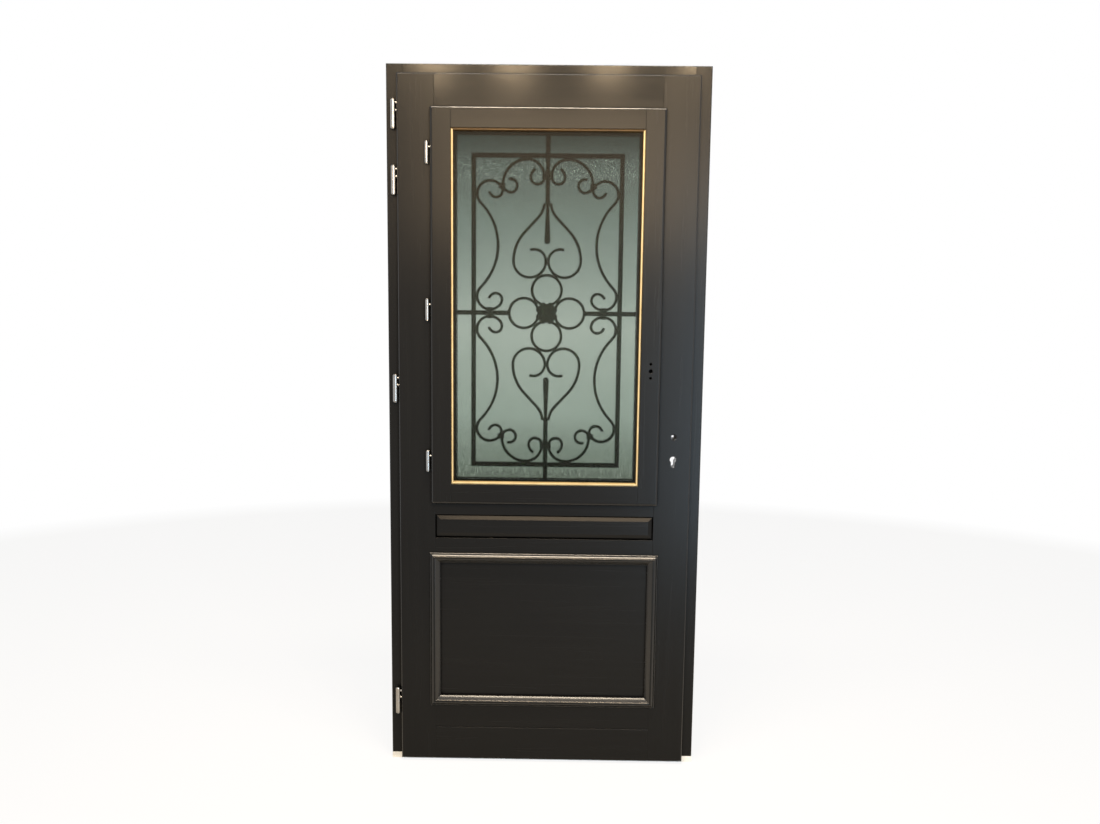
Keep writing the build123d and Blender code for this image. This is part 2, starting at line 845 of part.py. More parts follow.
def heart_lobe():
    """Middle of the lower left lobe, which touches its twin and the ring above."""
    x = -(heart_lobe_radius + scroll_width / 2 - weld / 2)
    touch = heart_lobe_radius + ring_radius + scroll_width - weld
    return x, -(ring_centre() + sqrt(touch**2 - x**2))


def heart_straight():
    """Straight stretch of the heart's side that brings its foot against the upright."""
    drawn_in = heart_lobe_radius - heart_lobe()[0] - contact()
    turn = radians(heart_foot_angle)
    bends = heart_outer_radius + heart_foot_radius
    return (drawn_in - bends * (1 - cos(turn))) / sin(turn)


def bud_foot():
    """Distance below the middle at which the upright starts and the heart's feet are welded to it."""
    turn = radians(heart_foot_angle)
    bends = heart_outer_radius + heart_foot_radius
    drop = bends * sin(turn) + heart_straight() * cos(turn)
    return drop - heart_lobe()[1] - heart_weld


def grille_bars():
    """Outer rectangle, the upright and the cross bars with their ends in the leaf's stops."""
    outer = Rectangle(2 * grille_half_width + bar_width, 2 * grille_half_height + bar_width)
    inner = Rectangle(2 * grille_half_width - bar_width, 2 * grille_half_height - bar_width)
    reach_x = stile_edge - casement_stop_width + grille_socket
    reach_top = casement_opening_top - casement_stop_width + grille_socket - grille_z
    reach_bottom = casement_opening_bottom + casement_stop_width - grille_socket - grille_z
    ring_edge = ring_centre() + ring_radius
    cross = Pos((ring_edge + reach_x) / 2, 0) * Rectangle(reach_x - ring_edge, bar_width)
    foot = bud_foot()
    upper = Pos(0, (foot + reach_top) / 2) * Rectangle(bar_width, reach_top - foot)
    lower = Pos(0, (reach_bottom - foot) / 2) * Rectangle(bar_width, -foot - reach_bottom)
    return outer - inner + mirrored(cross, Plane.YZ) + upper + lower


def grille_rings():
    """Four rings that touch round the middle."""
    ring_shape = Circle(ring_radius + scroll_width / 2) - Circle(ring_radius - scroll_width / 2)
    spread = ring_centre()
    places = ((spread, 0), (-spread, 0), (0, spread), (0, -spread))
    return Sketch() + [Pos(x, z) * ring_shape for x, z in places]


def heart_half():
    """Left half of the lower heart, from its foot beside the bud to its curled end."""
    lobe_x, lobe_z = heart_lobe()
    side = lobe_x - heart_lobe_radius
    bow = arc_path((side, lobe_z), -90, ((heart_outer_radius, heart_foot_angle),))[0]
    slant = Line(bow @ 1, bow @ 1 + heart_straight() * (bow % 1))
    foot = arc_path(slant @ 1, heart_foot_angle - 90, ((heart_foot_radius, -heart_foot_angle),))[0]
    outline = trace(Curve() + [bow, slant, foot], scroll_width)
    curl = scroll((side, lobe_z), 90, ((heart_lobe_radius, -180), (heart_curl_radius, -heart_curl_angle)))
    return outline + curl


def side_scroll():
    """Long scroll between the left bar and the heart, below the cross bar."""
    left = -(grille_half_width - contact())
    end_z = -(side_scroll_end_radius + contact())
    bow = side_scroll_middle + end_z
    inset = -left - side_scroll_waist
    turn = 2 * degrees(atan2(inset, bow))
    bow_radius = bow / sin(radians(turn)) - side_scroll_end_radius
    waist = scroll((left, end_z), -90, ((side_scroll_end_radius, turn), (bow_radius, -turn)))
    curls = [(radius, -angle) for radius, angle in zip(side_scroll_radii, side_scroll_angles)]
    end = scroll((left, end_z), 90, [(side_scroll_end_radius, -90), *curls])
    middle = Plane.XZ.offset(side_scroll_middle)
    return mirrored(waist + end, middle)


def corner_scroll():
    """Scroll that stands on the lower bar between the side scroll and the upright."""
    x = -(corner_scroll_bar_radius + contact())
    z = -(grille_half_height - contact())
    curls = [(radius, -angle) for radius, angle in zip(corner_curl_radii, corner_curl_angles)]
    to_side = [(corner_scroll_side_radius, -90), *curls]
    to_bar = [(corner_scroll_bar_radius, 90), *zip(bar_curl_radii, bar_curl_angles)]
    return scroll((x, z), 180, to_side) + scroll((x, z), 0, to_bar)


def bud(tip):
    """Forged bud, round in section, that stands up between the halves of the heart."""
    radius = bud_diameter / 2
    neck = bud_neck / 2
    centre_z = -(tip + radius)
    foot_z = -bud_foot()
    lines = [
        Line((0, -tip), (0, foot_z)),
        Line((0, foot_z), (neck, foot_z)),
        Line((neck, foot_z), (radius, centre_z)),
        RadiusArc((radius, centre_z), (0, -tip), -radius),
    ]
    return revolve(Plane.XZ * make_face(Curve() + lines), Axis.Z)


def in_place(shape):
    """Stand a shape drawn flat round the grille's middle up in the leaf."""
    return Plane((0, grille_y, grille_z), x_dir=(1, 0, 0), z_dir=(0, -1, 0)) * shape


def grille():
    """All the welded bars: outer frame, cross, rings, hearts, side scrolls, corner scrolls and buds."""
    bars = extrude(grille_bars(), grille_thickness / 2, both=True)
    scrolls = grille_rings() + four_ways(heart_half()) + four_ways(side_scroll()) + four_ways(corner_scroll())
    bars += extrude(scrolls, scroll_thickness / 2, both=True)
    lower_bud = Rot(X=90) * bud(lower_bud_tip)
    upper_bud = mirror(Rot(X=90) * bud(upper_bud_tip), about=Plane.XZ)
    return in_place(bars + lower_bud + upper_bud)


def grille_rosette(bars):
    """Lobed square rosette over the middle, let over the rings that run into it."""
    half = (rosette_size - rosette_lobe) / 2
    lobe = Circle(rosette_lobe / 2)
    steps = (-half, -half / 2, 0, half / 2, half)
    places = [(x, z) for x in steps for z in steps if half in (abs(x), abs(z))]
    outline = Rectangle(2 * half, 2 * half) + [Pos(x, z) * lobe for x, z in places]
    plate = extrude(outline, rosette_plate / 2 + collar_rise, both=True)
    boss = extrude(Circle(rosette_boss / 2), rosette_thickness / 2, both=True)
    boss = chamfer(boss.edges().filter_by(GeomType.CIRCLE), rosette_bevel)
    return in_place(plate + boss) - bars


def grille_collars(bars):
    """Forged collars where the scrolls meet the cross bars, the upright and each other."""
    depth = grille_thickness + 2 * collar_rise
    wrap = bar_width + 2 * scroll_width + 2 * collar_rise
    tie_x = grille_half_width - contact() - side_scroll_end_radius
    upright_z = grille_half_height - contact() - corner_scroll_bar_radius
    tie = Pos(tie_x, 0) * Box(collar_length, wrap, depth)
    upright = Pos(0, -upright_z) * Box(wrap, collar_length, depth)
    joint = Pos(-joint_collar_x, -joint_collar_z) * Box(2 * scroll_width + 2 * collar_rise, collar_length, depth)
    pair = joint + mirror(joint, about=Plane.YZ)
    collars = [tie, mirror(tie, about=Plane.YZ), upright, mirror(upright, about=Plane.XZ)]
    collars += [*pair.solids(), *mirror(pair, about=Plane.XZ).solids()]
    return Part() + [in_place(collar) - bars for collar in collars]


# Every piece, cut where it holds or carries another, and written out


def write_frame():
    """The frame's members with the holes for the hinges and the pockets for the lock."""
    spaces = [jamb_space(-1), jamb_space(1)]
    jambs, heads = split_members(frame_blank(), spaces)
    hinge_jamb, lock_jamb = jambs
    for height in hinge_heights:
        fixings = [height - rise for rise in door_fixings()]
        for hole in fixing_holes_back(hinge_x, room_face, fixings, fixing_diameter, frame_fixing_depth):
            hinge_jamb -= hole
    keeper = keeper_blank()
    lock_jamb -= keeper
    for pocket in keeper_pockets():
        lock_jamb -= pocket
        keeper -= pocket
    save("frame_hinge_jamb", hinge_jamb)
    save("frame_lock_jamb", lock_jamb)
    save("frame_head", heads[0])
    save("frame_seal", frame_seal())
    save("threshold", threshold())
    save("lock_keeper", keeper)


def write_leaf(bars):
    """The leaf's joinery, panels, mouldings and lock."""
    stiles, rails = split_members(leaf_blank(), [stile_space(-1), stile_space(1)])
    hinge_stile, lock_stile = stiles
    for height in hinge_heights:
        fixings = [height + rise for rise in door_fixings()]
        for hole in fixing_holes_across(-lip_x, hinge_y, fixings, fixing_diameter, leaf_fixing_depth):
            hinge_stile -= hole
    for height in small_hinge_heights:
        x = -(casement_lip_x + small_hinge_from_lip)
        fixings = [height - small_fixing_from_joint]
        for hole in fixing_holes_back(x, leaf_front, fixings, small_fixing_diameter, small_fixing_depth):
            hinge_stile -= hole
    lock_stile -= lock_space(lock_play) + faceplate_blank()
    lock_stile -= across_leaf(spindle_x, spindle_height, Circle(handle_hole_diameter / 2))
    lock_stile -= cylinder_hole()
    bottom_rail, lower_rail, middle_rail, top_rail = rails
    save("leaf_hinge_stile", hinge_stile - bars)
    save("leaf_lock_stile", lock_stile - bars)
    save("leaf_bottom_rail", bottom_rail)
    save("leaf_lower_rail", lower_rail)
    save("leaf_middle_rail", middle_rail - bars)
    save("leaf_top_rail", top_rail - bars)
    save("narrow_panel", narrow_panel())
    save("lower_panel", lower_panel())
    inside = panel_moulding()
    save("panel_moulding_inside", inside)
    save("panel_moulding_outside", mirror(inside, about=Plane.XZ.offset(-leaf_middle_y)))
    save("weatherboard", weatherboard())
    save("lock_case", lock_case())
    save("lock_faceplate", lock_faceplate())


def write_casement():
    """The casement's joinery, glass, bead, seal and hinges."""
    spaces = [casement_stile_space(-1), casement_stile_space(1)]
    stiles, rails = split_members(casement_blank(), spaces)
    hinge_stile, lock_stile = stiles
    for height in small_hinge_heights:
        y = (casement_front + casement_lip_back) / 2
        fixings = [height + small_fixing_from_joint]
        for hole in fixing_holes_across(-casement_lip_x, y, fixings, small_fixing_diameter, small_fixing_depth):
            hinge_stile -= hole
    for hole in casement_handle_holes():
        lock_stile -= hole
    save("casement_hinge_stile", hinge_stile)
    save("casement_lock_stile", lock_stile)
    save("casement_bottom_rail", rails[0])
    save("casement_top_rail", rails[1])
    save("casement_seal", casement_seal())
    save("glazing_bead", glazing_bead())
    save("glass_inner_pane", pane(glass_front))
    save("glass_outer_pane", pane(glass_back - pane_thickness))
    save("glass_spacer", glass_spacer())
    for number, height in enumerate(small_hinge_heights, 1):
        save(f"casement_hinge_{number}", Part() + list(casement_hinge(height)))


def write_hinges():
    """The door's four hinges, each in a half for the leaf and a half for the frame."""
    for number, height in enumerate(hinge_heights, 1):
        leaf_half, frame_half = door_hinge_halves(height)
        save(f"door_hinge_{number}_leaf_half", leaf_half)
        save(f"door_hinge_{number}_frame_half", frame_half)


def write_grille(bars):
    """The welded grille with its rosette and collars."""
    save("grille", bars)
    save("grille_rosette", grille_rosette(bars))
    save("grille_collars", grille_collars(bars))


grille_in_place = grille()
write_frame()
write_leaf(grille_in_place)
write_casement()
write_hinges()
write_grille(grille_in_place)
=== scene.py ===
import json
from math import cos, radians, sin

import bmesh
import bpy
from mathutils import Matrix, Vector


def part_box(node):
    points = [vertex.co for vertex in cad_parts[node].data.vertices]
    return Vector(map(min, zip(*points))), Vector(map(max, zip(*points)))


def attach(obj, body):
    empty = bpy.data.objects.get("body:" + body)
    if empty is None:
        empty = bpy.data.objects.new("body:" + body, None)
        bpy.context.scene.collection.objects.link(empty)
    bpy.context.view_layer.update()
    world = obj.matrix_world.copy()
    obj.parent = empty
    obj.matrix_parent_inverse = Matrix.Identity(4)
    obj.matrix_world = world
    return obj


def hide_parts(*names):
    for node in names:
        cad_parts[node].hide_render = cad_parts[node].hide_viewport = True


# Glazed wooden entrance door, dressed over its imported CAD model. Metres, Z up, outdoors at +Y.

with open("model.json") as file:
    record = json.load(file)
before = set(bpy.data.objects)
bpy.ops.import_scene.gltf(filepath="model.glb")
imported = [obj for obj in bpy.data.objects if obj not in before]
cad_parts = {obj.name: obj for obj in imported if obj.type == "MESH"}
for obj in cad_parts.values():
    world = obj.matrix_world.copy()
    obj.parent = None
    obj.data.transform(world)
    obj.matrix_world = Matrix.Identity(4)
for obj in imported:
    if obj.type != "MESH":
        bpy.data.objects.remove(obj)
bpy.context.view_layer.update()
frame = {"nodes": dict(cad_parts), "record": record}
nodes = frame["nodes"]

MM = 0.001
DISC_SIDES = 32

# Camera, at the photograph's distance, height and tilt
PICTURE_WIDTH = 1100
PICTURE_HEIGHT = 824
CAMERA_PLACE = Vector((0.0567, -3.6, 1.5064))
CAMERA_FOCAL_PIXELS = 1142.8
CAMERA_CENTRE_ROW = 471
CAMERA_PITCH = 8.723
CAMERA_ROLL = -0.651
CAMERA_YAW = -0.645

# Stage and lamps
FLOOR_REACH = 14.0
FLOOR_PLAIN_RADIUS = 1.0
FLOOR_FADE = 4.0
FLOOR_GLOW = 0.88
WORLD_LEVEL = 0.30
SPOT_PLACES = (-0.58, -0.20, 0.25, 0.68)
SPOT_DISTANCE = -2.1
SPOT_HEIGHT = 2.64
SPOT_AIM_HEIGHT = 2.1
CEILING_WARMTH = (1.0, 0.84, 0.64)
SPOT_WARMTH = (1.0, 0.74, 0.45)
FRONT_WARMTH = (1.0, 0.74, 0.46)
DAYLIGHT = (0.62, 0.82, 1.0)

# Paint
ARRIS_RADIUS = 2.5 * MM
# Reach of the painted shade in holes and grooves
RECESS_REACH = 16 * MM
BLACK = (0.0, 0.0, 0.0)
WHITE = (1.0, 1.0, 1.0)
EVEN = (1, 1, 1)

# Hinges
DOOR_HINGE_RADIUS = 7.5 * MM
CASEMENT_HINGE_RADIUS = 6.25 * MM
RING_HEIGHT = 1.6 * MM
RING_PROUD = 0.35 * MM
RING_ARRIS = 0.3 * MM
CAP_HEIGHT = 1.4 * MM
CAP_SHARE = 0.72
CAP_ARRIS = 0.4 * MM

# Glazing bead: the widths and rises of its section, from its outer edge towards the glass
BEAD_WALL = 12 * MM
BEAD_QUIRK = 1.0 * MM
BEAD_ROUND = 3.0 * MM
BEAD_ROUND_STEPS = 8
BEAD_SLOPE_WIDTH = 1.8 * MM
BEAD_SLOPE_DROP = 9 * MM
# Depth of the bead's top and bottom members, which take painted shade and painted light; then its two
# finishes: gilt, and a dark copy of the gilt that paints shade
BEAD_SHADED = 10 * MM
GILT_FINISH = 0
SHADED_GILT_FINISH = 1

# Rosette of the grille, from its middle; a lobe's size is its half length, depth and width in mm
ROSETTE_PLATE = 24 * MM
ROSETTE_DEPTH = 8 * MM
ROSETTE_ARRIS = 2.5 * MM
LOBE_ASIDE = 10 * MM
LOBE_OUT = 25 * MM
LOBE_SIZE = (8.5, 5.0, 8.0)
PETAL_OUT = 14 * MM
PETAL_SIZE = (15.0, 6.5, 8.0)
PETAL_TURNS = (45, 135, 225, 315)
BOSS_SIZE = (12.0, 9.0, 12.0)

# Lock screws
SCREW_RADIUS = 3.6 * MM
SCREW_PROUD = 0.7 * MM
SCREW_FROM_END = 14 * MM
SCREW_ARRIS = 0.2 * MM


# Node tools


def new_material(name, **sockets):
    """A Principled material with plain values on its sockets, and its tree."""
    material = bpy.data.materials.new(name)
    material.use_nodes = True
    tree = material.node_tree
    surface = tree.nodes["Principled BSDF"]
    for socket, value in sockets.items():
        surface.inputs[socket.replace("_", " ")].default_value = value
    return material, tree, surface


def stretched(tree, scale):
    """Object coordinates with a scale for each axis, so that a pattern can have a direction."""
    place = tree.nodes.new("ShaderNodeTexCoord")
    mapping = tree.nodes.new("ShaderNodeMapping")
    mapping.inputs["Scale"].default_value = scale
    tree.links.new(place.outputs["Object"], mapping.inputs["Vector"])
    return mapping.outputs["Vector"]


def noise(tree, vector, scale=1.0, detail=3.0, roughness=0.55, distortion=0.0):
    texture = tree.nodes.new("ShaderNodeTexNoise")
    texture.inputs["Scale"].default_value = scale
    texture.inputs["Detail"].default_value = detail
    texture.inputs["Roughness"].default_value = roughness
    texture.inputs["Distortion"].default_value = distortion
    tree.links.new(vector, texture.inputs["Vector"])
    return texture.outputs["Fac"]


def cells(tree, vector, scale=1.0, smoothness=0.6):
    texture = tree.nodes.new("ShaderNodeTexVoronoi")
    texture.feature = "SMOOTH_F1"
    texture.inputs["Scale"].default_value = scale
    texture.inputs["Smoothness"].default_value = smoothness
    tree.links.new(vector, texture.inputs["Vector"])
    return texture.outputs["Distance"]


def ramp(tree, factor, stops):
    """Colours between positions from 0 to 1."""
    band = tree.nodes.new("ShaderNodeValToRGB")
    elements = band.color_ramp.elements
    elements.remove(elements[1])
    elements[0].position = stops[0][0]
    for stop in stops[1:]:
        elements.new(stop[0])
    for element, stop in zip(elements, stops):
        element.color = (*stop[1], 1)
    tree.links.new(factor, band.inputs["Fac"])
    return band.outputs["Color"]


def spread(tree, factor, low, high, from_low=0.3, from_high=0.7):
    """A pattern's value spread between two numbers."""
    node = tree.nodes.new("ShaderNodeMapRange")
    node.inputs["From Min"].default_value = from_low
    node.inputs["From Max"].default_value = from_high
    node.inputs["To Min"].default_value = low
    node.inputs["To Max"].default_value = high
    tree.links.new(factor, node.inputs["Value"])
    return node.outputs["Result"]


def blended(tree, first, second, mode, factor=1.0):
    """Two colours mixed in a named way."""
    mix = tree.nodes.new("ShaderNodeMix")
    mix.data_type = "RGBA"
    mix.blend_type = mode
    mix.inputs["Factor"].default_value = factor
    tree.links.new(first, mix.inputs["A"])
    tree.links.new(second, mix.inputs["B"])
    return mix.outputs["Result"]


def soft_arris(tree, radius):
    """Normals rounded over every sharp edge, as rubbed-down paint lies."""
    edge = tree.nodes.new("ShaderNodeBevel")
    edge.samples = 4
    edge.inputs["Radius"].default_value = radius
    return edge.outputs["Normal"]


def rounded_places(tree):
    """1 on arrises and mouldings, where a face leans away from all three axes; 0 on flat boards."""
    place = tree.nodes.new("ShaderNodeTexCoord")
    size = tree.nodes.new("ShaderNodeVectorMath")
    size.operation = "ABSOLUTE"
    tree.links.new(place.outputs["Normal"], size.inputs[0])
    parts = tree.nodes.new("ShaderNodeSeparateXYZ")
    tree.links.new(size.outputs["Vector"], parts.inputs["Vector"])
    largest = combined(tree, parts.outputs["X"], parts.outputs["Y"], "MAXIMUM")
    largest = combined(tree, largest, parts.outputs["Z"], "MAXIMUM")
    return spread(tree, largest, 1.0, 0.0, 0.90, 0.99)


def open_places(tree, reach):
    """0 deep in holes and grooves, where painted shade falls, rising to 1 on open faces."""
    recess = tree.nodes.new("ShaderNodeAmbientOcclusion")
    recess.samples = 6
    recess.inputs["Distance"].default_value = reach
    return spread(tree, recess.outputs["AO"], 0.0, 1.0, 0.15, 0.75)


def combined(tree, first, second, operation="ADD"):
    """Two values combined by a named operation."""
    node = tree.nodes.new("ShaderNodeMath")
    node.operation = operation
    for value, socket in zip((first, second), node.inputs):
        if isinstance(value, float):
            socket.default_value = value
        else:
            tree.links.new(value, socket)
    return node.outputs["Value"]


def relief(tree, surface, layers, normal=None):
    """Bump layers of height, strength and distance, one over the other."""
    for height, strength, distance in layers:
        bump = tree.nodes.new("ShaderNodeBump")
        bump.inputs["Strength"].default_value = strength
        bump.inputs["Distance"].default_value = distance
        tree.links.new(height, bump.inputs["Height"])
        if normal is not None:
            tree.links.new(normal, bump.inputs["Normal"])
        normal = bump.outputs["Normal"]
    tree.links.new(normal, surface.inputs["Normal"])


# Materials


def satin_paint(name, along, arris_gloss=0.5, dullness=0.25, texture=1.0):
    """Dark satin paint: grain along one axis, bright arrises, and painted shade in recesses, which
    darkens their colour and dulls their reflections.
    """
    material, tree, surface = new_material(name)
    fine = [700.0, 700.0, 700.0]
    broad = [60.0, 60.0, 60.0]
    axis = "XYZ".index(along)
    fine[axis] = 26.0
    broad[axis] = 2.5
    pores = noise(tree, stretched(tree, fine), detail=2.0)
    bands = noise(tree, stretched(tree, broad), detail=4.0, distortion=0.4)
    cloud = noise(tree, stretched(tree, EVEN), scale=1.7, detail=2.0)
    peel = noise(tree, stretched(tree, EVEN), scale=420.0, detail=1.0)
    grain = ramp(tree, bands, ((0.25, (0.0062, 0.0062, 0.0062)), (0.75, (0.0074, 0.0074, 0.0073))))
    tone = ramp(tree, cloud, ((0.3, (0.88, 0.88, 0.9)), (0.7, (1.0, 0.99, 0.96))))
    # Painted shade: ambient occlusion darkens the colour and dulls the reflections in holes, grooves
    # and gaps.
    unshaded_open = open_places(tree, RECESS_REACH)
    painted_recess_shade = ramp(tree, unshaded_open, ((0.0, (0.15, 0.15, 0.15)), (1.0, WHITE)))
    colour = blended(tree, blended(tree, grain, tone, "MULTIPLY"), painted_recess_shade, "MULTIPLY")
    tree.links.new(colour, surface.inputs["Base Color"])
    rounded = rounded_places(tree)
    gloss = spread(tree, rounded, 0.12, arris_gloss, 0.0, 1.0)
    tree.links.new(combined(tree, gloss, unshaded_open, "MULTIPLY"), surface.inputs["Specular IOR Level"])
    dull = spread(tree, bands, dullness, dullness + 0.03)
    polish = spread(tree, rounded, 0.0, -0.07, 0.0, 1.0)
    tree.links.new(combined(tree, dull, polish), surface.inputs["Roughness"])
    layers = (
        (bands, 0.035 * texture, 0.5 * MM),
        (pores, 0.26 * texture, 0.2 * MM),
        (peel, 0.08, 0.15 * MM),
    )
    relief(tree, surface, layers, soft_arris(tree, ARRIS_RADIUS))
    return material


def gilt_paint(name, low, high, metallic, sheen):
    """Gold bronze paint on the glazing bead, brushed on along the wood."""
    material, tree, surface = new_material(name, Metallic=metallic, Specular_IOR_Level=sheen)
    brush = noise(tree, stretched(tree, EVEN), scale=160.0, detail=3.0)
    cloud = noise(tree, stretched(tree, EVEN), scale=14.0, detail=2.0)
    tree.links.new(ramp(tree, cloud, ((0.3, low), (0.7, high))), surface.inputs["Base Color"])
    tree.links.new(spread(tree, brush, 0.26, 0.38), surface.inputs["Roughness"])
    relief(tree, surface, ((brush, 0.12, 0.2 * MM),))
    return material


def obscured_glass():
    """Grey-green patterned glass that blurs what stands behind it: fine rills all over; a tint
    painted darker at the top and foot and lighter in the middle, as painted shade and light; painted
    glints in upright lines along its foot and in dots near its top."""
    material, tree, surface = new_material(
        "textured_glass", Transmission_Weight=0.97, IOR=1.13
    )
    low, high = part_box("glass_inner_pane")
    place = tree.nodes.new("ShaderNodeTexCoord")
    parts = tree.nodes.new("ShaderNodeSeparateXYZ")
    tree.links.new(place.outputs["Object"], parts.inputs["Vector"])
    height = spread(tree, parts.outputs["Z"], 0.0, 1.0, low.z, high.z)
    # Tint by height, darker at the top and foot and lighter in the middle: painted shade and painted
    # light from the surroundings.
    colour = ramp(
        tree,
        height,
        (
            (0.0, (0.09, 0.105, 0.080)),
            (0.06, (0.17, 0.20, 0.165)),
            (0.2, (0.32, 0.365, 0.32)),
            (0.45, (0.42, 0.455, 0.41)),
            (0.75, (0.18, 0.22, 0.20)),
            (1.0, (0.020, 0.032, 0.030)),
        ),
    )
    cloud = noise(tree, stretched(tree, EVEN), scale=3.0, detail=2.0)
    tone = ramp(tree, cloud, ((0.3, (0.92, 0.94, 0.93)), (0.7, WHITE)))
    # Painted glints: pale upright lines along the foot of the pane and bright dots near its top.
    upright = noise(tree, stretched(tree, (520, 520, 60)), detail=2.0)
    painted_glint_streaks = ramp(tree, upright, ((0.50, BLACK), (0.70, (0.24, 0.25, 0.23))))
    low_band = ramp(tree, height, ((0.0, (0.9, 0.9, 0.9)), (0.05, (0.6, 0.6, 0.6)), (0.10, BLACK)))
    dots = noise(tree, stretched(tree, (330, 330, 260)), detail=1.0)
    painted_glint_specks = ramp(tree, dots, ((0.60, BLACK), (0.68, (0.5, 0.52, 0.48))))
    lit = (0.8, 0.8, 0.8)
    high_band = ramp(tree, height, ((0.83, BLACK), (0.88, lit), (0.91, lit), (0.95, BLACK)))
    colour = blended(tree, colour, tone, "MULTIPLY")
    colour = blended(tree, colour, blended(tree, painted_glint_streaks, low_band, "MULTIPLY"), "ADD")
    colour = blended(tree, colour, blended(tree, painted_glint_specks, high_band, "MULTIPLY"), "ADD")
    tree.links.new(colour, surface.inputs["Base Color"])
    rills = noise(tree, stretched(tree, (420, 420, 60)), detail=1.0)
    drops = cells(tree, stretched(tree, (300, 300, 160)))
    tree.links.new(spread(tree, cloud, 0.23, 0.26), surface.inputs["Roughness"])
    relief(tree, surface, ((rills, 0.04, 0.3 * MM), (drops, 0.02, 0.3 * MM)))
    return material


def clear_glass():
    material, tree, surface = new_material(
        "clear_glass", Transmission_Weight=1.0, IOR=1.07, Base_Color=(0.86, 0.93, 0.90, 1)
    )
    film = noise(tree, stretched(tree, EVEN), scale=9.0, detail=3.0)
    tree.links.new(spread(tree, film, 0.0, 0.03), surface.inputs["Roughness"])
    return material


def forged_iron():
    """Blackened iron with a green cast, hammered all over."""
    material, tree, surface = new_material("grille_iron", Metallic=0.35, Specular_IOR_Level=0.4)
    blows = cells(tree, stretched(tree, EVEN), scale=150.0)
    scale = noise(tree, stretched(tree, EVEN), scale=420.0, detail=4.0)
    cloud = noise(tree, stretched(tree, EVEN), scale=18.0, detail=3.0)
    colour = ramp(tree, cloud, ((0.3, (0.014, 0.030, 0.022)), (0.72, (0.034, 0.066, 0.050))))
    tree.links.new(colour, surface.inputs["Base Color"])
    tree.links.new(spread(tree, scale, 0.42, 0.62), surface.inputs["Roughness"])
    relief(tree, surface, ((blows, 0.5, 0.8 * MM), (scale, 0.25, 0.2 * MM)))
    return material


def metal(name, colour, stretch, rough_low, rough_high, metallic=1.0, depth=0.12):
    """Metal with fine lines that run the way it was drawn or turned."""
    material, tree, surface = new_material(name, Metallic=metallic)
    lines = noise(tree, stretched(tree, stretch), detail=3.0)
    cloud = noise(tree, stretched(tree, EVEN), scale=35.0, detail=3.0)
    darker = tuple(0.82 * value for value in colour)
    tree.links.new(ramp(tree, cloud, ((0.3, darker), (0.7, colour))), surface.inputs["Base Color"])
    tree.links.new(spread(tree, lines, rough_low, rough_high), surface.inputs["Roughness"])
    relief(tree, surface, ((lines, depth, 0.1 * MM),))
    return material


def rubber():
    material, tree, surface = new_material("seal", Specular_IOR_Level=0.3)
    skin = noise(tree, stretched(tree, EVEN), scale=900.0, detail=2.0)
    cloud = noise(tree, stretched(tree, EVEN), scale=40.0, detail=2.0)
    colour = ramp(tree, cloud, ((0.3, (0.010, 0.010, 0.010)), (0.7, (0.020, 0.020, 0.020))))
    tree.links.new(colour, surface.inputs["Base Color"])
    tree.links.new(spread(tree, skin, 0.6, 0.75), surface.inputs["Roughness"])
    relief(tree, surface, ((skin, 0.2, 0.15 * MM),))
    return material


paint_upright = satin_paint("painted_wood_upright", "Z")
paint_level = satin_paint("painted_wood_level", "X")
paint_sunk = satin_paint("painted_wood_sunk", "X", arris_gloss=0.16)
paint_moulded = satin_paint("painted_wood_moulded", "X", arris_gloss=0.5, texture=0.4)
paint_top = satin_paint("painted_wood_top", "X", arris_gloss=0.9, dullness=0.15)
gilt = gilt_paint("gilt_bead", (0.38, 0.29, 0.14), (0.50, 0.40, 0.21), 0.0, 0.5)
# A dark copy of the gilt: painted shade on the bead's flanks and on its whole top member.
gilt_painted_shade = gilt_paint("gilt_bead_painted_shade", (0.045, 0.026, 0.010), (0.075, 0.045, 0.016), 0.2, 0.2)
inner_glass = obscured_glass()
outer_glass = clear_glass()
iron = forged_iron()
hinge_steel = metal("hinge_steel", (0.34, 0.33, 0.315), (300, 300, 1800), 0.20, 0.32)
lock_steel = metal("lock_steel", (0.60, 0.60, 0.59), (900, 900, 40), 0.28, 0.40)
case_steel = metal("lock_case_steel", (0.12, 0.12, 0.12), (900, 900, 40), 0.4, 0.55, metallic=0.8)
threshold_metal = metal(
    "threshold_metal", (0.80, 0.79, 0.76), (30, 900, 900), 0.38, 0.5, metallic=0.8
)
spacer_metal = metal("spacer_metal", (0.30, 0.30, 0.30), (700, 700, 700), 0.4, 0.55)
seal_rubber = rubber()

FINISHES = {
    "gilt_bead": gilt,
    "textured_glass": inner_glass,
    "clear_glass": outer_glass,
    "grille_iron": iron,
    "hinge_steel": hinge_steel,
    "lock_steel": lock_steel,
    "threshold_metal": threshold_metal,
    "spacer_metal": spacer_metal,
    "seal": seal_rubber,
}
UPRIGHTS = ("jamb", "stile")
TOP_WORK = ("frame_head", "leaf_top_rail", "casement_top_rail")
SUNK_WORK = ("narrow_panel", "leaf_middle_rail", "leaf_lower_rail", "leaf_bottom_rail")


def finish_cad_nodes():
    """Give every CAD node its finish; the grain runs along each member."""
    slots = {row["node"]: row["material_slot"] for row in frame["record"]["subparts"]}
    for name, node in nodes.items():
        slot = slots[name]
        if slot == "painted_wood":
            upright = any(word in name for word in UPRIGHTS)
            material = paint_upright if upright else paint_level
            if name in SUNK_WORK:
                material = paint_sunk
            elif name in TOP_WORK:
                material = paint_top
            elif "moulding" in name:
                material = paint_moulded
        else:
            material = case_steel if name == "lock_case" else FINISHES[slot]
        node.data.materials.clear()
        node.data.materials.append(material)


finish_cad_nodes()


# Mesh tools


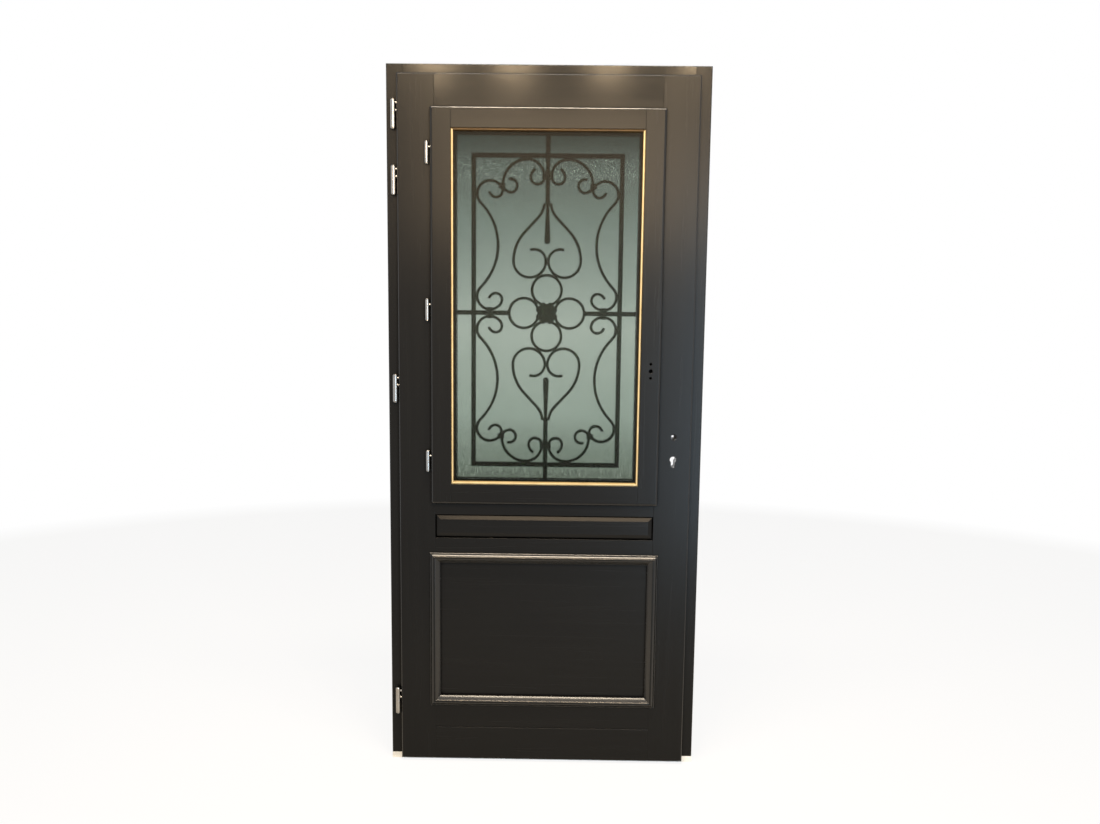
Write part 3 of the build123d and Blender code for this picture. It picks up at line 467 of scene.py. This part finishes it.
def add_piece(name, mesh_maker, material, body):
    """Turn a bmesh into a finished piece that rides on a body."""
    mesh = bpy.data.meshes.new(name)
    bmesh.ops.recalc_face_normals(mesh_maker, faces=mesh_maker.faces)
    mesh_maker.to_mesh(mesh)
    mesh_maker.free()
    mesh.materials.append(material)
    piece = bpy.data.objects.new(name, mesh)
    bpy.context.scene.collection.objects.link(piece)
    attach(piece, body)
    return piece


def smooth(piece, angle=35):
    """Shade smooth except across sharp edges."""
    sharp = radians(angle)
    mesh = bmesh.new()
    mesh.from_mesh(piece.data)
    for face in mesh.faces:
        face.smooth = True
    for edge in mesh.edges:
        edge.smooth = len(edge.link_faces) == 2 and edge.calc_face_angle() < sharp
    mesh.to_mesh(piece.data)
    mesh.free()


def round_edges(mesh, edges, radius, segments):
    bmesh.ops.bevel(
        mesh,
        geom=edges,
        offset=radius,
        segments=segments,
        profile=0.5,
        affect="EDGES",
        clamp_overlap=True,
        material=-1,
    )


def turned(mesh, radius, height, base, arris, sideways=False):
    """A round-edged disc that stands on its base point or, sideways, lies along X from it."""
    turn = Matrix.Rotation(radians(90), 4, "Y") if sideways else Matrix()
    place = Matrix.Translation(base) @ turn @ Matrix.Translation((0, 0, height / 2))
    made = bmesh.ops.create_cone(
        mesh,
        cap_ends=True,
        segments=DISC_SIDES,
        radius1=radius,
        radius2=radius,
        depth=abs(height),
        matrix=place,
    )
    edges = {edge for vert in made["verts"] for edge in vert.link_edges}
    ends = [edge for edge in edges if any(len(face.verts) > 4 for face in edge.link_faces)]
    round_edges(mesh, ends, arris, 2)


# Hinge trim


def hinge_trim(name, hinges, radius, body):
    """Bearing ring between the halves and a cap on each end of every barrel."""
    rings = bmesh.new()
    caps = bmesh.new()
    cap = radius * CAP_SHARE
    for x, y, bottom, joint, top in hinges:
        ring_foot = Vector((x, y, joint - RING_HEIGHT / 2))
        turned(rings, radius + RING_PROUD, RING_HEIGHT, ring_foot, RING_ARRIS)
        for foot in (top, bottom - CAP_HEIGHT):
            turned(caps, cap, CAP_HEIGHT, Vector((x, y, foot)), CAP_ARRIS)
    smooth(add_piece(name + "_bearing_rings", rings, hinge_steel, body))
    smooth(add_piece(name + "_caps", caps, hinge_steel, body))


# Lock screws


def lock_screws(name, node, face_x, sign, body):
    """Screw heads near both ends of a plate, standing a little proud of its face at x."""
    low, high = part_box(node)
    middle_y = (low.y + high.y) / 2
    heads = bmesh.new()
    for z in (low.z + SCREW_FROM_END, high.z - SCREW_FROM_END):
        foot = Vector((face_x, middle_y, z))
        turned(heads, SCREW_RADIUS, sign * SCREW_PROUD, foot, SCREW_ARRIS, sideways=True)
    smooth(add_piece(name, heads, lock_steel, body))


# Glazing bead and rosette


def bead_section():
    """Each step of the bead's section as its width, its rise and the slot of its finish: bright gilt
    on the round, and a dark gilt that paints shade on the quirk, the slope and the wall.
    """
    steps = [(0.0, BEAD_WALL, SHADED_GILT_FINISH), (BEAD_QUIRK, 0.0, SHADED_GILT_FINISH)]
    width_before = rise_before = 0.0
    for step in range(1, BEAD_ROUND_STEPS + 1):
        turn = radians(180 * step / BEAD_ROUND_STEPS)
        width = BEAD_ROUND * (1 - cos(turn))
        rise = BEAD_ROUND * sin(turn)
        steps.append((width - width_before, rise - rise_before, GILT_FINISH))
        width_before = width
        rise_before = rise
    steps.append((BEAD_SLOPE_WIDTH, -BEAD_SLOPE_DROP, SHADED_GILT_FINISH))
    steps.append((0.0, BEAD_SLOPE_DROP - BEAD_WALL, SHADED_GILT_FINISH))
    return steps


def glazing_bead():
    """Bead mitred round the glass: a quirk, a gilt round and a steep slope. Its top member is dark
    gilt all over, painted shade, and its bottom member bright gilt on every face that does not look
    down, painted light from above."""
    low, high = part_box("glazing_bead")
    mesh = bmesh.new()
    back = Matrix.Translation(((low.x + high.x) / 2, high.y, (low.z + high.z) / 2))
    upright = Matrix.Rotation(radians(90), 4, "X")
    opening = Matrix.Diagonal((high.x - low.x, high.z - low.z, 1.0, 1.0))
    place = back @ upright @ opening
    bmesh.ops.create_grid(mesh, x_segments=1, y_segments=1, size=0.5, matrix=place)
    mesh.normal_update()
    mesh.faces.ensure_lookup_table()
    face = mesh.faces[0]
    for width, rise, finish in bead_section():
        made = bmesh.ops.inset_individual(
            mesh, faces=[face], thickness=width, depth=rise, use_even_offset=True
        )
        for side in made["faces"]:
            side.material_index = finish
    mesh.faces.remove(face)
    rims = [edge for edge in mesh.edges if edge.is_boundary]
    bmesh.ops.bridge_loops(mesh, edges=rims)
    bead = add_piece("gilt_bead", mesh, gilt, "leaf")
    bead.data.materials.append(gilt_painted_shade)
    # Painted light and shade: the top member all dark gilt, and the bottom member bright gilt on
    # every face that does not look down.
    for face in bead.data.polygons:
        if abs(face.center.x) > high.x - BEAD_SHADED:
            continue
        if face.center.z > high.z - BEAD_SHADED:
            face.material_index = SHADED_GILT_FINISH
        elif face.normal.z > -0.5:
            face.material_index = GILT_FINISH
    smooth(bead)
    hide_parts("glazing_bead")


def petal(mesh, place, size, turn=0.0):
    """One hammered lobe, a flattened ball turned in the rosette's plane."""
    shape = Matrix.Diagonal((size[0] * MM, size[1] * MM, size[2] * MM, 1.0))
    matrix = Matrix.Translation(place) @ Matrix.Rotation(radians(turn), 4, "Y") @ shape
    bmesh.ops.create_uvsphere(mesh, u_segments=24, v_segments=14, radius=1.0, matrix=matrix)


def rosette():
    """Forged flower over the crossing: a plate, eight lobes round it, four petals and a boss."""
    low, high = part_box("grille_rosette")
    middle = (low + high) / 2
    mesh = bmesh.new()
    shape = Matrix.Diagonal((2 * ROSETTE_PLATE, ROSETTE_DEPTH, 2 * ROSETTE_PLATE, 1.0))
    bmesh.ops.create_cube(mesh, size=1.0, matrix=Matrix.Translation(middle) @ shape)
    round_edges(mesh, list(mesh.edges), ROSETTE_ARRIS, 3)
    for out in (LOBE_OUT, -LOBE_OUT):
        for aside in (LOBE_ASIDE, -LOBE_ASIDE):
            petal(mesh, middle + Vector((aside, 0, out)), LOBE_SIZE, 90)
            petal(mesh, middle + Vector((out, 0, aside)), LOBE_SIZE)
    for turn in PETAL_TURNS:
        way_out = Vector((cos(radians(turn)), 0, sin(radians(turn))))
        petal(mesh, middle + PETAL_OUT * way_out, PETAL_SIZE, -turn)
    petal(mesh, middle, BOSS_SIZE)
    flower = add_piece("rosette", mesh, iron, "leaf")
    smooth(flower)
    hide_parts("grille_rosette")


# Camera, stage and light


def make_camera():
    """The photograph's viewpoint, written from its pitch, roll and yaw."""
    pitch = radians(CAMERA_PITCH)
    roll = radians(CAMERA_ROLL)
    yaw = radians(CAMERA_YAW)
    forward = Vector((sin(yaw) * cos(pitch), cos(yaw) * cos(pitch), -sin(pitch)))
    level_right = Vector((cos(yaw), -sin(yaw), 0))
    level_down = forward.cross(level_right)
    right = cos(roll) * level_right + sin(roll) * level_down
    down = cos(roll) * level_down - sin(roll) * level_right
    camera = bpy.data.cameras.new("camera")
    camera.sensor_width = 36
    camera.lens = CAMERA_FOCAL_PIXELS * camera.sensor_width / PICTURE_WIDTH
    camera.shift_y = (CAMERA_CENTRE_ROW - PICTURE_HEIGHT / 2) / PICTURE_WIDTH
    viewpoint = bpy.data.objects.new("camera", camera)
    turn = Matrix((right, -down, -forward)).transposed().to_4x4()
    viewpoint.matrix_world = Matrix.Translation(CAMERA_PLACE) @ turn
    bpy.context.scene.collection.objects.link(viewpoint)
    bpy.context.scene.camera = viewpoint


def make_floor():
    """Plain white floor that keeps the door's shadow and fades into the backdrop."""
    mesh = bmesh.new()
    bmesh.ops.create_circle(mesh, cap_ends=True, segments=96, radius=FLOOR_REACH)
    data = bpy.data.meshes.new("floor")
    mesh.to_mesh(data)
    mesh.free()
    material, tree, surface = new_material(
        "floor", Base_Color=(0.86, 0.86, 0.85, 1), Roughness=0.9, Specular_IOR_Level=0.1
    )
    place = tree.nodes.new("ShaderNodeTexCoord")
    length = tree.nodes.new("ShaderNodeVectorMath")
    length.operation = "LENGTH"
    tree.links.new(place.outputs["Object"], length.inputs[0])
    far = FLOOR_PLAIN_RADIUS + FLOOR_FADE
    fade = spread(tree, length.outputs["Value"], 0.0, 1.0, FLOOR_PLAIN_RADIUS, far)
    glow = tree.nodes.new("ShaderNodeEmission")
    glow.inputs["Color"].default_value = (1, 1, 1, 1)
    paths = tree.nodes.new("ShaderNodeLightPath")
    lit = combined(tree, paths.outputs["Is Camera Ray"], FLOOR_GLOW, "MULTIPLY")
    mix = tree.nodes.new("ShaderNodeMixShader")
    tree.links.new(combined(tree, lit, fade, "MAXIMUM"), mix.inputs["Fac"])
    tree.links.new(surface.outputs["BSDF"], mix.inputs[1])
    tree.links.new(glow.outputs["Emission"], mix.inputs[2])
    tree.links.new(mix.outputs["Shader"], tree.nodes["Material Output"].inputs["Surface"])
    data.materials.append(material)
    floor = bpy.data.objects.new("floor", data)
    bpy.context.scene.collection.objects.link(floor)


def make_world():
    """White to the camera, in reflections and through glass, and a plain level of light elsewhere."""
    world = bpy.data.worlds.new("studio")
    bpy.context.scene.world = world
    world.use_nodes = True
    tree = world.node_tree
    tree.nodes.clear()
    paths = tree.nodes.new("ShaderNodeLightPath")
    seen = combined(
        tree, paths.outputs["Is Camera Ray"], paths.outputs["Is Transmission Ray"], "MAXIMUM"
    )
    shiny = combined(tree, seen, paths.outputs["Is Glossy Ray"], "MAXIMUM")
    white = tree.nodes.new("ShaderNodeBackground")
    plain = tree.nodes.new("ShaderNodeBackground")
    white.inputs["Strength"].default_value = 1.0
    white.inputs["Color"].default_value = (1, 1, 1, 1)
    plain.inputs["Strength"].default_value = WORLD_LEVEL
    plain.inputs["Color"].default_value = (1.0, 0.99, 0.97, 1)
    mix = tree.nodes.new("ShaderNodeMixShader")
    output = tree.nodes.new("ShaderNodeOutputWorld")
    tree.links.new(shiny, mix.inputs["Fac"])
    tree.links.new(plain.outputs["Background"], mix.inputs[1])
    tree.links.new(white.outputs["Background"], mix.inputs[2])
    tree.links.new(mix.outputs["Shader"], output.inputs["Surface"])


def area_lamp(name, place, target, width, height, power, colour):
    """A rectangular lamp aimed at a point, unseen through the glass."""
    lamp = bpy.data.lights.new(name, "AREA")
    lamp.shape = "RECTANGLE"
    lamp.size = width
    lamp.size_y = height
    lamp.energy = power
    lamp.color = colour
    holder = bpy.data.objects.new(name, lamp)
    aim = Vector(target) - Vector(place)
    turn = aim.to_track_quat("-Z", "Y").to_matrix().to_4x4()
    holder.matrix_world = Matrix.Translation(place) @ turn
    holder.visible_transmission = False
    bpy.context.scene.collection.objects.link(holder)


make_camera()
make_floor()
make_world()
area_lamp("ceiling_lamp", (0.0, -1.0, 4.05), (0.0, 0.0, 0.9), 1.6, 0.4, 110, CEILING_WARMTH)
for number, x in enumerate(SPOT_PLACES, 1):
    place = (x, SPOT_DISTANCE, SPOT_HEIGHT)
    aim = (x, 0.0, SPOT_AIM_HEIGHT)
    area_lamp(f"ceiling_spot_{number}", place, aim, 0.10, 0.20, 10, SPOT_WARMTH)
area_lamp("front_lamp", (0.10, -2.1, 2.08), (0.1, 0.0, 1.9), 1.4, 0.6, 37, FRONT_WARMTH)
area_lamp("right_lamp", (1.15, -3.2, 1.0), (0.3, 0.0, 1.1), 0.7, 2.4, 60, DAYLIGHT)


# Pieces


def door_hinge_places():
    """Axis, ends and joint height of each door hinge, read from its two halves."""
    places = []
    for number in (1, 2, 3, 4):
        upper_low, upper_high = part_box(f"door_hinge_{number}_leaf_half")
        lower_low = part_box(f"door_hinge_{number}_frame_half")[0]
        x = upper_low.x + DOOR_HINGE_RADIUS
        y = lower_low.y + DOOR_HINGE_RADIUS
        places.append((x, y, lower_low.z, (upper_high.z + lower_low.z) / 2, upper_high.z))
    return places


def casement_hinge_places():
    """Axis, ends and joint height of each casement hinge."""
    places = []
    for number in (1, 2, 3):
        low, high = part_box(f"casement_hinge_{number}")
        x = low.x + CASEMENT_HINGE_RADIUS
        y = low.y + CASEMENT_HINGE_RADIUS
        places.append((x, y, low.z, (low.z + high.z) / 2, high.z))
    return places


glazing_bead()
rosette()
hinge_trim("door_hinge", door_hinge_places(), DOOR_HINGE_RADIUS, "frame")
hinge_trim("casement_hinge", casement_hinge_places(), CASEMENT_HINGE_RADIUS, "leaf")
lock_screws("faceplate_screws", "lock_faceplate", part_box("lock_faceplate")[1].x, 1, "leaf")
lock_screws("keeper_screws", "lock_keeper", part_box("lock_keeper")[0].x, -1, "frame")

bpy.context.scene.view_settings.view_transform = "Standard"
